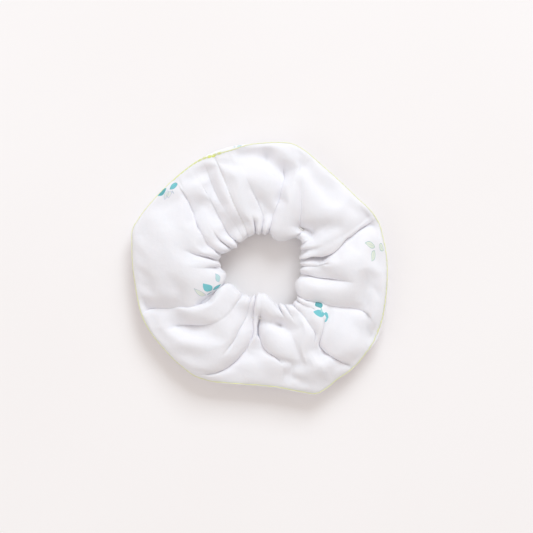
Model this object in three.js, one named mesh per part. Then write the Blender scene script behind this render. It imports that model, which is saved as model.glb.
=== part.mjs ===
// A gathered fabric hair scrunchie, lying on its back on a table.
// Millimetres, +Z up out of the printed front, origin on the table under the centre of the hole.
// One strip of cloth is folded lengthwise round a loop of flat elastic. Its long edges are turned in and
// overlocked together along the outer edge, and its short ends meet at one cross seam.
import * as THREE from "three";

// Driving dimensions
const OUTER_DIAMETER = 132;
const HOLE_DIAMETER = 42;
const CASING_HEIGHT = 21;
const CLOTH_THICKNESS = 0.6;
const GATHERS = 16;
const CLEARANCE = 0.3; // between two pieces that touch on the real object
const CORNER_ROOM = 0.1; // more room where a square or bent thread's corners stand out

// Outer seam: two turned-in plies with the seam between them
const SEAM_HEIGHT = 9.5;
const SEAM_GAP = 1.1;
const ALLOWANCE_WIDTH = 6.5;
const CREST_RADIUS = 40; // where the front is highest
const FLAT_BACK_INNER = 30; // radii between which the back lies flat on the table
const FLAT_BACK_OUTER = 46;

// Cross seam, where the strip's short ends meet
const CROSS_SEAM_ANGLE = THREE.MathUtils.degToRad(113);
const CROSS_SEAM_GAP = 1.1;

// Elastic: a flat braid bent into a loop whose ends overlap
const ELASTIC_WIDTH = 6;
const ELASTIC_THICKNESS = 1;
const ELASTIC_RADIUS = 25.8;
const ELASTIC_HEIGHT = 9.5; // of its middle above the table
const ELASTIC_OVERLAP = 12;
const ELASTIC_RISE = ELASTIC_THICKNESS + CLEARANCE + 0.05; // growth of the radius in one turn

// Threads
const OVERLOCK_THREAD = 0.5;
const LOCKSTITCH_THREAD = 0.4;
const OVERLOCK_STITCHES = 52;
const NEEDLE_LINE_IN = 1.9; // from the rim to the line that the loopers reach out to
const CLOSING_START = THREE.MathUtils.degToRad(109);
const CLOSING_END = THREE.MathUtils.degToRad(137);
const CLOSING_OFFSET = 1.15; // from the middle of the ply to the closing stitch
const CLOSING_PUCKER = 0.15; // every second stitch point stands this much higher
const CLOSING_POINTS = 12;
const CLOSING_SHARE = 0.06; // how far along each ply's curve from the rim the stitch lies
const JOIN_ZIGZAGS = 6;
const JOIN_START = 0.08; // shares of the elastic's overlap that the zigzag runs between
const JOIN_END = 0.92;
const JOIN_SWING = 0.3; // share of the elastic's width that the zigzag swings each way

const FULL_TURN = 2 * Math.PI;
const rimRadius = OUTER_DIAMETER / 2 - CLOTH_THICKNESS / 2;
const noseRadius = HOLE_DIAMETER / 2 + CLOTH_THICKNESS / 2;
const plyOffset = (SEAM_GAP + CLOTH_THICKNESS) / 2; // seam centre to the middle of each ply
const crest = CASING_HEIGHT - CLOTH_THICKNESS / 2;
const backLevel = CLOTH_THICKNESS / 2;

const materials = {
  cloth: new THREE.MeshStandardMaterial({ color: 0xf3f1f4, roughness: 0.9, metalness: 0 }),
  elastic: new THREE.MeshStandardMaterial({ color: 0xf4f3ef, roughness: 0.8, metalness: 0 }),
  limeThread: new THREE.MeshStandardMaterial({ color: 0xe6f56a, roughness: 0.6, metalness: 0 }),
  whiteThread: new THREE.MeshStandardMaterial({ color: 0xf6f5f3, roughness: 0.6, metalness: 0 }),
};

// The middle line of the cloth in the (radius, height) plane, in runs from raw edge to raw edge:
// [curve, number of steps]
function clothSection() {
  const at = (r, z) => new THREE.Vector2(r, z);
  const rawEdge = rimRadius - ALLOWANCE_WIDTH;
  const turn = rimRadius - 0.9; // where each ply starts to turn back on itself
  const upper = SEAM_HEIGHT + plyOffset;
  const lower = SEAM_HEIGHT - plyOffset;
  const rimTop = at(rimRadius - 0.6, SEAM_HEIGHT + 2.8);
  const rimBottom = at(rimRadius - 0.6, SEAM_HEIGHT - 2.7);
  const top = at(CREST_RADIUS, crest);
  const nose = at(noseRadius, CASING_HEIGHT / 2);
  const backStart = at(FLAT_BACK_INNER, backLevel);
  const backEnd = at(FLAT_BACK_OUTER, backLevel);
  return [
    [new THREE.LineCurve(at(rawEdge, upper), at(turn, upper)), 1],
    [new THREE.CubicBezierCurve(at(turn, upper), at(rimRadius + 0.2, upper),
      at(rimRadius + 0.2, SEAM_HEIGHT + 2.3), rimTop), 3],
    [new THREE.CubicBezierCurve(rimTop, at(56, 15.5), at(49, crest), top), 4],
    [new THREE.CubicBezierCurve(top, at(27, crest), at(noseRadius, 17.5), nose), 3],
    [new THREE.CubicBezierCurve(nose, at(noseRadius, 5), at(24.5, backLevel), backStart), 3],
    [new THREE.LineCurve(backStart, backEnd), 1],
    [new THREE.QuadraticBezierCurve(backEnd, at(57, backLevel), rimBottom), 2],
    [new THREE.CubicBezierCurve(rimBottom, at(rimRadius + 0.2, SEAM_HEIGHT - 2.2),
      at(rimRadius + 0.2, lower), at(turn, lower)), 3],
    [new THREE.LineCurve(at(turn, lower), at(rawEdge, lower)), 1],
  ];
}

// The points along some runs of curves, without repeating the shared ends
function pointsAlong(runs) {
  const points = [];
  runs.forEach(([curve, steps], i) => points.push(...curve.getPoints(steps).slice(i ? 1 : 0)));
  return points;
}

// A line moved sideways by a distance, to its left when that is positive
function offsetLine(points, distance) {
  return points.map((point, i) => {
    const before = points[Math.max(i - 1, 0)];
    const after = points[Math.min(i + 1, points.length - 1)];
    const along = after.clone().sub(before).normalize();
    return new THREE.Vector2(point.x - along.y * distance, point.y + along.x * distance);
  });
}

// A closed outline of even thickness round a middle line
function ribbon(points, thickness) {
  const left = offsetLine(points, thickness / 2);
  const right = offsetLine(points, -thickness / 2);
  return new THREE.Shape([...left, ...right.reverse()]);
}

// The gathers: the front rises and falls, and the inner fold moves in and out. The back stays flat.
function gather(r, z, angle) {
  const reach = THREE.MathUtils.smoothstep(58 - r, 0, 58 - noseRadius);
  const wave = Math.cos(GATHERS * angle);
  const fold = THREE.MathUtils.smoothstep(32 - r, 0, 8) * Math.sin((Math.PI * z) / CASING_HEIGHT);
  return [r + 0.9 * fold * (1 - wave), z - 1.3 * reach * (z / CASING_HEIGHT) * (1 - wave)];
}

// A section extruded straight and then bent round the Z axis. place(x, y, share) gives the
// radius, height and angle of a point of the section at that share of the length.
function bentExtrusion(shape, steps, place) {
  const geometry = new THREE.ExtrudeGeometry(shape, { depth: 1, steps, bevelEnabled: false });
  const position = geometry.getAttribute("position");
  for (let i = 0; i < position.count; i++) {
    const [r, z, angle] = place(position.getX(i), position.getY(i), position.getZ(i));
    position.setXYZ(i, r * Math.cos(angle), r * Math.sin(angle), z);
  }
  const index = geometry.index ? geometry.index.array : [...Array(position.count).keys()];
  const turned = [];
  for (let i = 0; i < index.length; i += 3) turned.push(index[i], index[i + 2], index[i + 1]);
  geometry.setIndex(turned); // bending (x, y, z) to (radius, height, angle) mirrors each face
  geometry.computeVertexNormals();
  return geometry;
}

// The straight runs between some points, visited at equal shares of the line so that no corner is cut
class StitchLine extends THREE.Curve {
  constructor(points, closed) {
    super();
    this.points = points;
    this.closed = closed;
  }

  getPoint(share) {
    const { points, closed } = this;
    const runs = closed ? points.length : points.length - 1;
    const place = Math.min(Math.max(share, 0), 1) * runs;
    const i = Math.min(Math.floor(place), runs - 1);
    return points[i].clone().lerp(points[(i + 1) % points.length], place - i);
  }

  getPointAt(share) {
    return this.getPoint(share);
  }

  getTangentAt(share) {
    const step = 0.5 / this.points.length;
    const wrap = (u) => (this.closed ? (u + 1) % 1 : u);
    return this.getPoint(wrap(share + step)).sub(this.getPoint(wrap(share - step))).normalize();
  }

  getSpacedPoints(divisions) {
    return this.getPoints(divisions);
  }
}

// A thread along an open line of points, square in section
function thread(points, diameter) {
  const h = diameter / 2;
  const corners = [[-h, -h], [h, -h], [h, h], [-h, h]];
  const section = new THREE.Shape(corners.map(([x, y]) => new THREE.Vector2(x, y)));
  const extrudePath = new StitchLine(points, false);
  return new THREE.ExtrudeGeometry(section, { steps: points.length - 1, bevelEnabled: false, extrudePath });
}

// A thread along a closed line of points
function threadLoop(points, diameter) {
  return new THREE.TubeGeometry(new StitchLine(points, true), points.length, diameter / 2, 4, true);
}

const onRing = (r, angle, z) => new THREE.Vector3(r * Math.cos(angle), r * Math.sin(angle), z);

function clothStrip() {
  const shape = ribbon(pointsAlong(clothSection()), CLOTH_THICKNESS);
  return bentExtrusion(shape, GATHERS * 5, (x, y, share) => {
    const halfGap = CROSS_SEAM_GAP / (2 * x);
    const angle = CROSS_SEAM_ANGLE + halfGap + share * (FULL_TURN - 2 * halfGap);
    return [...gather(x, y, angle - CROSS_SEAM_ANGLE), angle];
  });
}

function elasticBand() {
  const w = ELASTIC_WIDTH / 2;
  const t = ELASTIC_THICKNESS / 2;
  const bevel = 0.25;
  const section = new THREE.Shape([
    [-t, -w + bevel], [-t + bevel, -w], [t - bevel, -w], [t, -w + bevel],
    [t, w - bevel], [t - bevel, w], [-t + bevel, w], [-t, w - bevel],
  ].map(([x, y]) => new THREE.Vector2(x, y)));
  const turns = FULL_TURN + ELASTIC_OVERLAP / ELASTIC_RADIUS;
  return bentExtrusion(section, 60, (x, y, share) => {
    const travelled = share * turns;
    const r = ELASTIC_RADIUS + x + (ELASTIC_RISE * travelled) / FULL_TURN;
    return [r, ELASTIC_HEIGHT + y, CROSS_SEAM_ANGLE + travelled];
  });
}

// One thread of the zigzag that joins the elastic's overlapped ends
function joinThread(side) {
  const overlapAngle = ELASTIC_OVERLAP / ELASTIC_RADIUS;
  const outerEnd = ELASTIC_RISE * (1 + overlapAngle / FULL_TURN);
  const faceRadius = ELASTIC_RADIUS + (side > 0 ? outerEnd : 0) + (side * ELASTIC_THICKNESS) / 2;
  const r = faceRadius + side * (CLEARANCE + LOCKSTITCH_THREAD / 2 + CORNER_ROOM);
  const points = [];
  for (let i = 0; i <= 2 * JOIN_ZIGZAGS; i++) {
    const share = JOIN_START + ((JOIN_END - JOIN_START) * i) / (2 * JOIN_ZIGZAGS);
    const z = ELASTIC_HEIGHT + (i % 2 ? 1 : -1) * ELASTIC_WIDTH * JOIN_SWING;
    points.push(onRing(r, CROSS_SEAM_ANGLE + share * overlapAngle, z));
  }
  return thread(points, LOCKSTITCH_THREAD);
}

// One looper thread of the overlock: it crosses one ply's allowance and hooks over the raw edges
function looperThread(side) {
  const onPly = SEAM_HEIGHT + side * (plyOffset + CLOTH_THICKNESS / 2 + CLEARANCE + OVERLOCK_THREAD / 2);
  const atEdge = SEAM_HEIGHT + side * (CLEARANCE + OVERLOCK_THREAD / 2 + CORNER_ROOM);
  const needleLine = rimRadius - NEEDLE_LINE_IN;
  const rawEdge = rimRadius - ALLOWANCE_WIDTH;
  const points = [];
  for (let i = 0; i < OVERLOCK_STITCHES; i++) {
    const angle = (FULL_TURN * i) / OVERLOCK_STITCHES;
    const pitch = FULL_TURN / OVERLOCK_STITCHES;
    points.push(onRing(needleLine, angle, onPly));
    points.push(onRing(rawEdge - CORNER_ROOM, angle + pitch * 0.35, onPly));
    points.push(onRing(rawEdge - CLEARANCE - OVERLOCK_THREAD, angle + pitch * 0.5, atEdge));
    points.push(onRing(rawEdge - CORNER_ROOM, angle + pitch * 0.65, onPly));
  }
  return threadLoop(points, OVERLOCK_THREAD);
}

// The overlock's needle thread, which shows along the outer edge between the two plies
function needleThread() {
  const radius = OUTER_DIAMETER / 2 - OVERLOCK_THREAD / 2;
  return new THREE.TorusGeometry(radius, OVERLOCK_THREAD / 2, 4, 72).translate(0, 0, SEAM_HEIGHT);
}

// One thread of the cross seam, in the gap between the strip's ends, from rim to rim round the inner fold.
// Side 1 is the thread inside the casing and side -1 the one outside it.
function crossSeamThread(side) {
  const apart = (CLEARANCE + LOCKSTITCH_THREAD) / 2;
  // keeps the outer thread off the table
  const inward = apart + LOCKSTITCH_THREAD / 2 - CLOTH_THICKNESS / 2 + CORNER_ROOM;
  const line = offsetLine(pointsAlong(clothSection().slice(2, 7)), inward + side * apart);
  const points = line.slice(1, -1).map((p) => onRing(p.x, CROSS_SEAM_ANGLE, p.y));
  return thread(points, LOCKSTITCH_THREAD);
}

// One thread of the lockstitch that closes the turning gap, near the outer edge: side 1 on the front ply
// and side -1 on the back ply. It stands off the middle of the ply, along the ply's outward normal.
function closingThread(side) {
  const [frontRun, backRun] = [clothSection()[2][0], clothSection()[6][0]];
  const place = side > 0 ? frontRun.getPoint(CLOSING_SHARE) : backRun.getPoint(1 - CLOSING_SHARE);
  const along = side > 0 ? frontRun.getTangent(CLOSING_SHARE) : backRun.getTangent(1 - CLOSING_SHARE);
  const points = [];
  for (let i = 0; i <= CLOSING_POINTS; i++) {
    const angle = CLOSING_START + ((CLOSING_END - CLOSING_START) * i) / CLOSING_POINTS;
    const lift = CLOSING_OFFSET + (i % 2 ? CLOSING_PUCKER : 0);
    points.push(onRing(place.x + along.y * lift, angle, place.y - along.x * lift));
  }
  return thread(points, LOCKSTITCH_THREAD);
}

const scrunchie = new THREE.Group();
const add = (name, geometry, material) => {
  const mesh = new THREE.Mesh(geometry, material);
  mesh.name = name;
  scrunchie.add(mesh);
};

add("fabric_strip", clothStrip(), materials.cloth);
add("elastic_band", elasticBand(), materials.elastic);
add("elastic_join_needle_thread", joinThread(1), materials.whiteThread);
add("elastic_join_bobbin_thread", joinThread(-1), materials.whiteThread);
add("overlock_needle_thread", needleThread(), materials.limeThread);
add("overlock_upper_looper_thread", looperThread(1), materials.limeThread);
add("overlock_lower_looper_thread", looperThread(-1), materials.limeThread);
add("cross_seam_needle_thread", crossSeamThread(-1), materials.whiteThread);
add("cross_seam_bobbin_thread", crossSeamThread(1), materials.whiteThread);
add("closing_needle_thread", closingThread(1), materials.limeThread);
add("closing_bobbin_thread", closingThread(-1), materials.limeThread);

export default scrunchie;
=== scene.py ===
"""A printed cotton hair scrunchie on its back: cloth, threads and elastic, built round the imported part."""
import math

import bpy
import numpy as np
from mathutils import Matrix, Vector


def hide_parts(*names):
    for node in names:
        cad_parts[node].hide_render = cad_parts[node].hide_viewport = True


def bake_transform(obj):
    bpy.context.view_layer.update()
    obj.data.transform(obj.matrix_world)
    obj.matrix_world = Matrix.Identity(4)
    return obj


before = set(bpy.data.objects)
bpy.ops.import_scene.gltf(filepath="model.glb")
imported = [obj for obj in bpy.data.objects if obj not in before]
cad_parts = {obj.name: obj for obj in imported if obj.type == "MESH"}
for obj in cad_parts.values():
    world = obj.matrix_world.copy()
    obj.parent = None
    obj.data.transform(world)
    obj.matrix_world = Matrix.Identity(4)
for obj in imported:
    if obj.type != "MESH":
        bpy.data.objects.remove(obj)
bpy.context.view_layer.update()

MM = 0.001
RNG = np.random.default_rng(11)

# The strip: columns run round the ring, rows run across it from the outer seam to the fold and back.
COLUMNS = 416
HALF_ROWS = 26
ROWS = 2 * HALF_ROWS
STRIP_LENGTH = 430.0
SEAM_DEG = 113.0
CLOTH_THICK = 0.6

# How the cloth settles: frames, growth as a share, pressure inside it, bending stiffness, and the most that a
# point may move, in mm
SETTLE_FRAMES = 18
GROW = 0.033
PRESSURE = 1.0
BEND = 9.0
MOST_MOVED = 6.0

# Outline of the ring and of its hole: (degrees anticlockwise from +X, radius in mm)
RIM = [(6, 66.7), (14, 66.4), (20, 66.7), (24, 66.0), (36, 62.4), (48, 61.4), (60, 62.7), (70, 65.7),
       (76, 67.0), (82, 66.3), (92, 65.3), (102, 65.4), (116, 65.5), (134, 65.1), (148, 66.8), (158, 69.2),
       (163.5, 70.5), (170, 69.0), (185, 66.9), (205, 67.9), (220, 66.9), (231, 66.5), (240, 67.0),
       (244, 66.3), (255, 63.8), (267, 62.8), (278, 64.6), (288, 69.6), (294, 73.2), (298, 72.9),
       (304, 71.7), (312, 72.4), (320, 71.8), (328, 72.4), (334, 71.2), (344, 68.9), (355, 67.3)]
HOLE = [(0, 20.9), (10, 20.6), (20, 21.8), (30, 24.4), (35, 25.0), (40, 23.4), (46, 19.8), (56, 16.8),
        (70, 17.4), (90, 17.2), (105, 17.2), (118, 16.8), (130, 16.4), (146, 16.8), (155, 19.0),
        (163, 21.2), (173, 21.8), (182, 20.2), (190, 18.8), (198, 19.6), (205, 20.4), (215, 18.4),
        (228, 17.0), (240, 16.6), (250, 16.2), (258, 15.0), (270, 14.4), (280, 15.2), (286, 17.2),
        (292, 20.0), (300, 22.4), (312, 25.2), (320, 24.6), (328, 23.4), (338, 20.8), (348, 20.4)]

# Section of the casing for a hole radius of 21 and a rim radius of 66: cubic runs of (radius, height), in mm,
# from the rim over the front to the inner fold, and from the fold along the back to the rim
FRONT_RUNS = [((66, 9.5), (66, 10.8), (65.3, 11.8), (61.5, 12.6)),
              ((61.5, 12.6), (55, 14.1), (49, 17.8), (40, 18.1)),
              ((40, 18.1), (27, 18.5), (21, 16.8), (21, 10.5))]
BACK_RUNS = [((21, 10.5), (21, 5), (24.5, 0.9), (30, 0.9)),
             ((30, 0.9), (36, 0.9), (42, 0.9), (47, 1.5)),
             ((47, 1.5), (56, 2.8), (66, 7.2), (66, 9.5))]
HOLE_AT, RING_WIDTH, RUN_STEPS = 21, 45, 60

# Creases of the front, in order round the ring.
# line: (radius in mm, degrees, depth in mm) outwards from the fold.
# tuck: width of the sharp part. dip: (share of the depth, width in mm) of the soft hollow round it.
# lean: how far one side hangs over the crease, in mm: + the side at larger angles, - the other side.
# crisp: share of the depth that the sharp part has away from the fold.
CREASES = [
    dict(line=[(20, 1, 3.0), (27, 2, 2.4), (31, 2.4, 0.9), (36, 3, 0), (70, 3, 0)]),
    dict(line=[(20, 11, 3.6), (27, 11, 3.6), (32, 10.5, 3.6), (37, 12, 3.6), (42, 15, 3.6),
               (47.5, 18.3, 3.6), (58, 21.2, 3.8), (64, 22.0, 3.8), (70, 22.3, 3.0)], lean=2.4,
               dip=(0.7, 6), tuck=1.7),
    dict(line=[(20, 23, 2.6), (25, 21, 1.6), (29, 19, 0.5), (34, 19.5, 0), (70, 26, 0)]),
    dict(line=[(20, 29, 3.0), (25, 29, 1.8), (36, 32, 1.2), (45, 35, 0.6), (52, 37, 0.1), (70, 38, 0)],
               tuck=3.4, dip=(1.0, 7), crisp=0.1),
    dict(line=[(20, 39, 2.6), (27.5, 41, 3.0), (32, 50, 2.4), (40, 58, 1.7), (46.5, 63, 1.0), (52, 65, 0),
               (70, 66, 0)], tuck=2.4, dip=(0.7, 5), crisp=0.6),
    dict(line=[(18, 77, 4.0), (30, 75.5, 3.2), (42, 75, 2.6), (50, 75, 2.2), (54, 77, 0.7), (58, 78.5, 0),
               (70, 80, 0)], lean=-0.8, dip=(0.4, 4), tuck=1.6),
    dict(line=[(16, 89, 3.4), (26, 88, 2.6), (34, 93, 2.0), (42, 98, 1.3), (48, 100, 0.2), (70, 103, 0)],
               tuck=2.4, dip=(0.9, 5), crisp=0.5),
    dict(line=[(16, 99, 2.8), (23, 99, 1.6), (27, 101, 0.2), (34, 104, 0), (70, 108, 0)], tuck=1.8),
    dict(line=[(16, 113, 0.9), (30, 113, 1.0), (45, 113, 1.0), (60, 113, 0.9), (70, 113, 0.8)], tuck=0.9),
    dict(line=[(16, 121, 0.2), (30, 121, 0.3), (41, 122, 1.3), (52, 121, 1.8), (60, 119.5, 1.2),
               (66, 119, 0.1)], tuck=3.0, dip=(1.0, 5), crisp=0.3),
    dict(line=[(17, 134, 4.2), (28, 132, 3.6), (38, 129, 3.0), (46, 127, 1.8), (54, 126, 0.3),
               (70, 125, 0)], tuck=3.4, dip=(1.1, 7), crisp=0.55),
    dict(line=[(18, 148, 3.2), (25, 147, 2.0), (30, 144, 0.5), (36, 140, 0), (70, 131, 0)], tuck=1.8),
    dict(line=[(20, 163, 3.8), (28, 158, 3.2), (37, 150, 2.9), (45, 143, 2.6), (53, 137.5, 1.8),
               (58, 136, 0.3), (70, 134, 0)], lean=0.8, dip=(0.5, 6), tuck=1.8),
    dict(line=[(20, 172, 3.0), (28, 170.5, 2.4), (36, 169, 1.6), (41, 167, 0), (70, 162, 0)], lean=0.5),
    dict(line=[(20, 181, 2.8), (25, 181, 1.6), (30, 181, 0.3), (36, 180, 0), (70, 178, 0)]),
    dict(line=[(16, 207, 3.4), (26, 208.5, 3.4), (34, 211.5, 2.8), (42, 211.4, 2.2), (50, 207.4, 2.4),
               (58, 203.6, 2.6), (64, 201.4, 2.2), (72, 200.4, 1.0)], lean=2.4, dip=(0.7, 7), tuck=1.8),
    dict(line=[(14, 236, 1.2), (28, 235.5, 0.8), (36, 231, 0.9), (44, 225, 2.0), (50, 219.0, 3.2),
               (55, 215, 2.2), (60, 213, 0), (72, 209, 0)], lean=-0.8, dip=(1.1, 6), tuck=2.8, crisp=0.5),
    dict(line=[(14, 253, 2.8), (27.5, 252.4, 3.0), (36, 250, 2.8), (41, 249.6, 2.0), (45, 247.6, 1.0),
               (49, 246.4, 0), (72, 232, 0)], dip=(0.5, 4), tuck=1.5),
    dict(line=[(13, 260.5, 3.6), (27, 262.0, 3.8), (34, 262.8, 3.8), (42, 261.0, 3.8), (47.5, 258.5, 3.8),
               (53, 255, 3.6), (58.5, 250.6, 2.8), (62, 245.5, 1.2), (66, 240, 0.2), (72, 236, 0)],
               lean=1.4, dip=(0.7, 7), tuck=1.8),
    dict(line=[(12, 271, 0.1), (22, 271, 0.2), (26, 269.6, 2.2), (31.5, 267.8, 3.4), (36, 268.2, 3.4),
               (41.5, 270.2, 3.4), (46, 273.6, 3.4), (48.4, 277.4, 2.8), (49.6, 281.0, 1.2), (51, 282.6, 0),
               (56, 281, 0), (72, 278, 0)], lean=-0.8, dip=(0.8, 5), tuck=1.8),
    dict(line=[(14, 294, 3.0), (27, 295, 2.8), (38, 294.4, 2.2), (48, 293.6, 1.5), (57, 290.5, 0.9),
               (66, 288.5, 0.1), (72, 288, 0)], tuck=4.0, dip=(1.1, 7), crisp=0.05),
    dict(line=[(20, 302, 2.6), (28, 301.6, 1.2), (34, 301, 0), (46, 298, 0), (72, 297, 0)]),
    dict(line=[(22, 310, 3.2), (28, 310, 3.2), (38, 310.2, 3.0), (45, 309.6, 1.8), (49, 304, 0.2),
               (72, 303, 0)], dip=(0.5, 4), tuck=1.6),
    dict(line=[(22, 317, 3.2), (28, 318.5, 2.8), (34, 321, 1.6), (36.5, 321, 0.3), (42.5, 320.5, 0.3),
               (44.5, 319, 1.2), (47, 315, 2.2), (51.5, 306.8, 2.8), (57, 307.2, 3.0), (63, 309.0, 2.4),
               (71, 311.8, 1.0)], lean=1.2, dip=(0.8, 6), tuck=1.6),
    dict(line=[(21, 324, 4.0), (27, 325.6, 4.2), (37, 330.6, 4.2), (48, 334, 4.2), (55, 336.6, 4.0),
               (60, 337.8, 3.0), (62, 337.0, 1.8), (64.5, 335.2, 0.6), (67, 334, 0), (70, 332, 0)],
               lean=2.2, dip=(0.8, 7), tuck=1.9),
    dict(line=[(20, 350, 3.8), (28, 350, 3.4), (36, 350.4, 2.8), (43, 350.6, 1.6), (49, 350.5, 0),
               (70, 350, 0)], dip=(0.6, 4), tuck=1.6),
]
# Hollows of the front that run round the ring rather than across it: two ends (x, y), width and depth, in mm
HOLLOWS = [((1, -28), (10, -30), 2.2, 3.0), ((10, -30), (14, -33), 2.6, 2.0),
           ((-10, 60), (3, 59), 3.6, 2.2), ((3, 58), (12, 51), 4.4, 4.2), ((12, 51), (9, 36), 3.2, 1.8),
           ((-30, 49), (-22, 33), 4.0, 1.8), ((-33, 33), (-22, 26), 3.6, 2.2),
           ((-46, 24), (-36, 11), 4.5, 1.2), ((-62, -21), (-44, -20), 4.0, 2.2),
           ((-46, -31), (-31, -31), 3.4, 1.6), ((-42, -39), (-28, -40), 4.0, -1.2),
           ((-42, -12), (-34, -17), 4.0, 1.2), ((24, 53), (38, 35), 4.0, 1.2),
           ((26, 19), (40, 22), 4.5, 2.2), ((21, 20), (25, 17), 2.8, 3.6), ((47, -28), (60, -37), 4.2, 1.8),
           ((12, -30), (22, -50), 4.0, 1.0), ((-2, -48), (4, -58), 4.0, 0.8),
           ((-50, 16), (-59, 0), 8.0, -1.8), ((-44, -50), (-26, -54), 6.0, -1.8),
           ((32, -51), (47, -43), 6.0, -2.2)]


def smooth(x):
    x = np.clip(x, 0, 1)
    return x * x * (3 - 2 * x)


def round_curve(knots, degrees):
    """A smooth closed curve through (degrees, value) knots."""
    knots = sorted((a % 360, v) for a, v in knots)
    a = np.array([k[0] for k in knots], float)
    v = np.array([k[1] for k in knots], float)
    a, v = np.concatenate([a - 360, a, a + 360]), np.tile(v, 3)
    slope = np.gradient(v, a)
    x = np.mod(degrees, 360)
    i = np.clip(np.searchsorted(a, x, side="right") - 1, 0, len(a) - 2)
    h = a[i + 1] - a[i]
    t = (x - a[i]) / h
    return ((2 * t**3 - 3 * t**2 + 1) * v[i] + (t**3 - 2 * t**2 + t) * h * slope[i]
            + (3 * t**2 - 2 * t**3) * v[i + 1] + (t**3 - t**2) * h * slope[i + 1])


def cubic(run, t):
    p = np.array(run, float)
    t = t[:, None]
    return (1 - t)**3 * p[0] + 3 * (1 - t)**2 * t * p[1] + 3 * (1 - t) * t * t * p[2] + t**3 * p[3]


def section():
    """The casing's section as dense points, their length along it from the rim, and where the fold is."""
    t = np.linspace(0, 1, RUN_STEPS, endpoint=False)
    points = np.concatenate([cubic(run, t) for run in FRONT_RUNS + BACK_RUNS] + [FRONT_RUNS[0][:1]])
    along = np.concatenate([[0], np.cumsum(np.linalg.norm(np.diff(points, axis=0), axis=1))])
    return points, along, along[RUN_STEPS * len(FRONT_RUNS)]


SECTION, ALONG, FOLD_AT = section()
PERIMETER = ALONG[-1]
BACK_SECTION = SECTION[RUN_STEPS * len(FRONT_RUNS):]


def on_section(s):
    """Share of the way from hole to rim, height in mm, and outward normal, at lengths s along the section."""
    s = np.mod(s, PERIMETER)
    r, z = np.interp(s, ALONG, SECTION[:, 0]), np.interp(s, ALONG, SECTION[:, 1])
    ahead, behind = np.mod(s + 0.4, PERIMETER), np.mod(s - 0.4, PERIMETER)
    dr = np.interp(ahead, ALONG, SECTION[:, 0]) - np.interp(behind, ALONG, SECTION[:, 0])
    dz = np.interp(ahead, ALONG, SECTION[:, 1]) - np.interp(behind, ALONG, SECTION[:, 1])
    size = np.hypot(dr, dz) + 1e-9
    return (r - HOLE_AT) / RING_WIDTH, z, dz / size, -dr / size


def across_ring(s):
    """Share of the way from hole to rim of one row."""
    return float(np.clip(on_section(s)[0], 0, 1))


def row_lengths():
    """Length along the section of each row: close together at the seam and even elsewhere."""
    def spaced(total, by_seam):
        step = np.ones(HALF_ROWS)
        step[:len(by_seam)] = by_seam
        return np.concatenate([[0], np.cumsum(step)]) * total / step.sum()
    front = spaced(FOLD_AT, (0.28, 0.34, 0.45, 0.6, 0.8))
    back = PERIMETER - spaced(PERIMETER - FOLD_AT, (0.25, 0.25, 0.25, 0.28, 0.35, 0.5, 0.7))[::-1]
    return np.concatenate([front, back[1:-1]])


ROW_AT = row_lengths()


def back_creases():
    """The creases of the back: each joins the front's at the fold and at the rim, and dies out in between."""
    result = []
    for crease, end in zip(CREASES, crease_state(CREASES, 1.0)[0]):
        start, depth = crease["line"][0][1:]
        if start == SEAM_DEG:
            result.append(dict(line=[(16, start, depth), (30, start, 1.0), (70, start, 0.8)], tuck=0.9))
            continue
        reach = RNG.uniform(32, 52)
        middle = start + RNG.uniform(0.2, 0.6) * (end - start)
        line = [(16, start, depth), (26, start + 0.1 * (end - start), 0.5 * depth),
                (0.5 * (26 + reach), middle, 0.4 * depth), (reach, 0.5 * (middle + end), 0.0), (60, end, 0.0)]
        result.append(dict(line=line, dip=(0.6, 5), tuck=RNG.uniform(1.2, 2.6)))
    return result


def crease_state(creases, q):
    """Angle, depth, tuck, dip, lean and crispness of every crease at share q of the way from hole to rim."""
    rows = []
    for c in creases:
        line = np.array(c["line"], float)
        angle = np.interp(HOLE_AT + RING_WIDTH * q, line[:, 0], line[:, 1])
        for _ in range(4):
            inner, outer = round_curve(HOLE, angle), round_curve(RIM, angle)
            r = inner + (outer - inner) * q
            angle = np.interp(r, line[:, 0], line[:, 1])
        dip = c.get("dip", (0.3, 4))
        deeper = 1.3 + 0.25 * smooth((26 - r) / 5)
        depth = deeper * np.interp(r, line[:, 0], line[:, 2])
        crisp = c.get("crisp", 1.0)
        crisp += (1 - crisp) * smooth((30 - r) / 8)
        rows.append((angle, depth, c.get("tuck", 1.3), dip[0], dip[1], c.get("lean", 0.0), crisp))
    return np.array(rows).T


def bump(u):
    """Rises from 0 to 1 at u = 1 and dies away after it."""
    u = np.maximum(u, 0)
    return u * np.exp(1 - u)


def ring(s_row, front, share):
    """Places of one row's columns, in mm. share holds each column's share of the way between two creases."""
    creases = CREASES if front else BACK
    state = crease_state(creases, across_ring(s_row))
    angle = state[0]
    from_seam = min(s_row, PERIMETER - s_row)
    n = len(creases)
    fine = np.linspace(0, 1, 161)
    columns = []
    for k in range(n):
        a0, a1 = angle[k], angle[(k + 1) % n]
        a1 += 360 if a1 < a0 else 0
        degrees = a0 + (a1 - a0) * fine
        slid = s_row + seam_slide(degrees) * (1 - smooth(from_seam / 14))
        p = surface(degrees, slid, front, state, k)
        length = np.concatenate([[0], np.cumsum(np.linalg.norm(np.diff(p, axis=0), axis=1))])
        want = share[k] * length[-1]
        columns.append(np.stack([np.interp(want, length, p[:, i]) for i in range(3)], -1))
    return np.concatenate(columns)


def kept_apart(height, q, z):
    """Heights off the front's section, limited so that the front stays clear of the back."""
    back = np.interp(HOLE_AT + RING_WIDTH * q, BACK_SECTION[:, 0], BACK_SECTION[:, 1])
    room = np.maximum(z - back - 1.6, 0.1)
    deep = -height
    limited = 0.6 * room + 0.4 * room * np.tanh((deep - 0.6 * room) / (0.4 * room))
    return np.where(deep > 0.6 * room, -limited, height)


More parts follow.
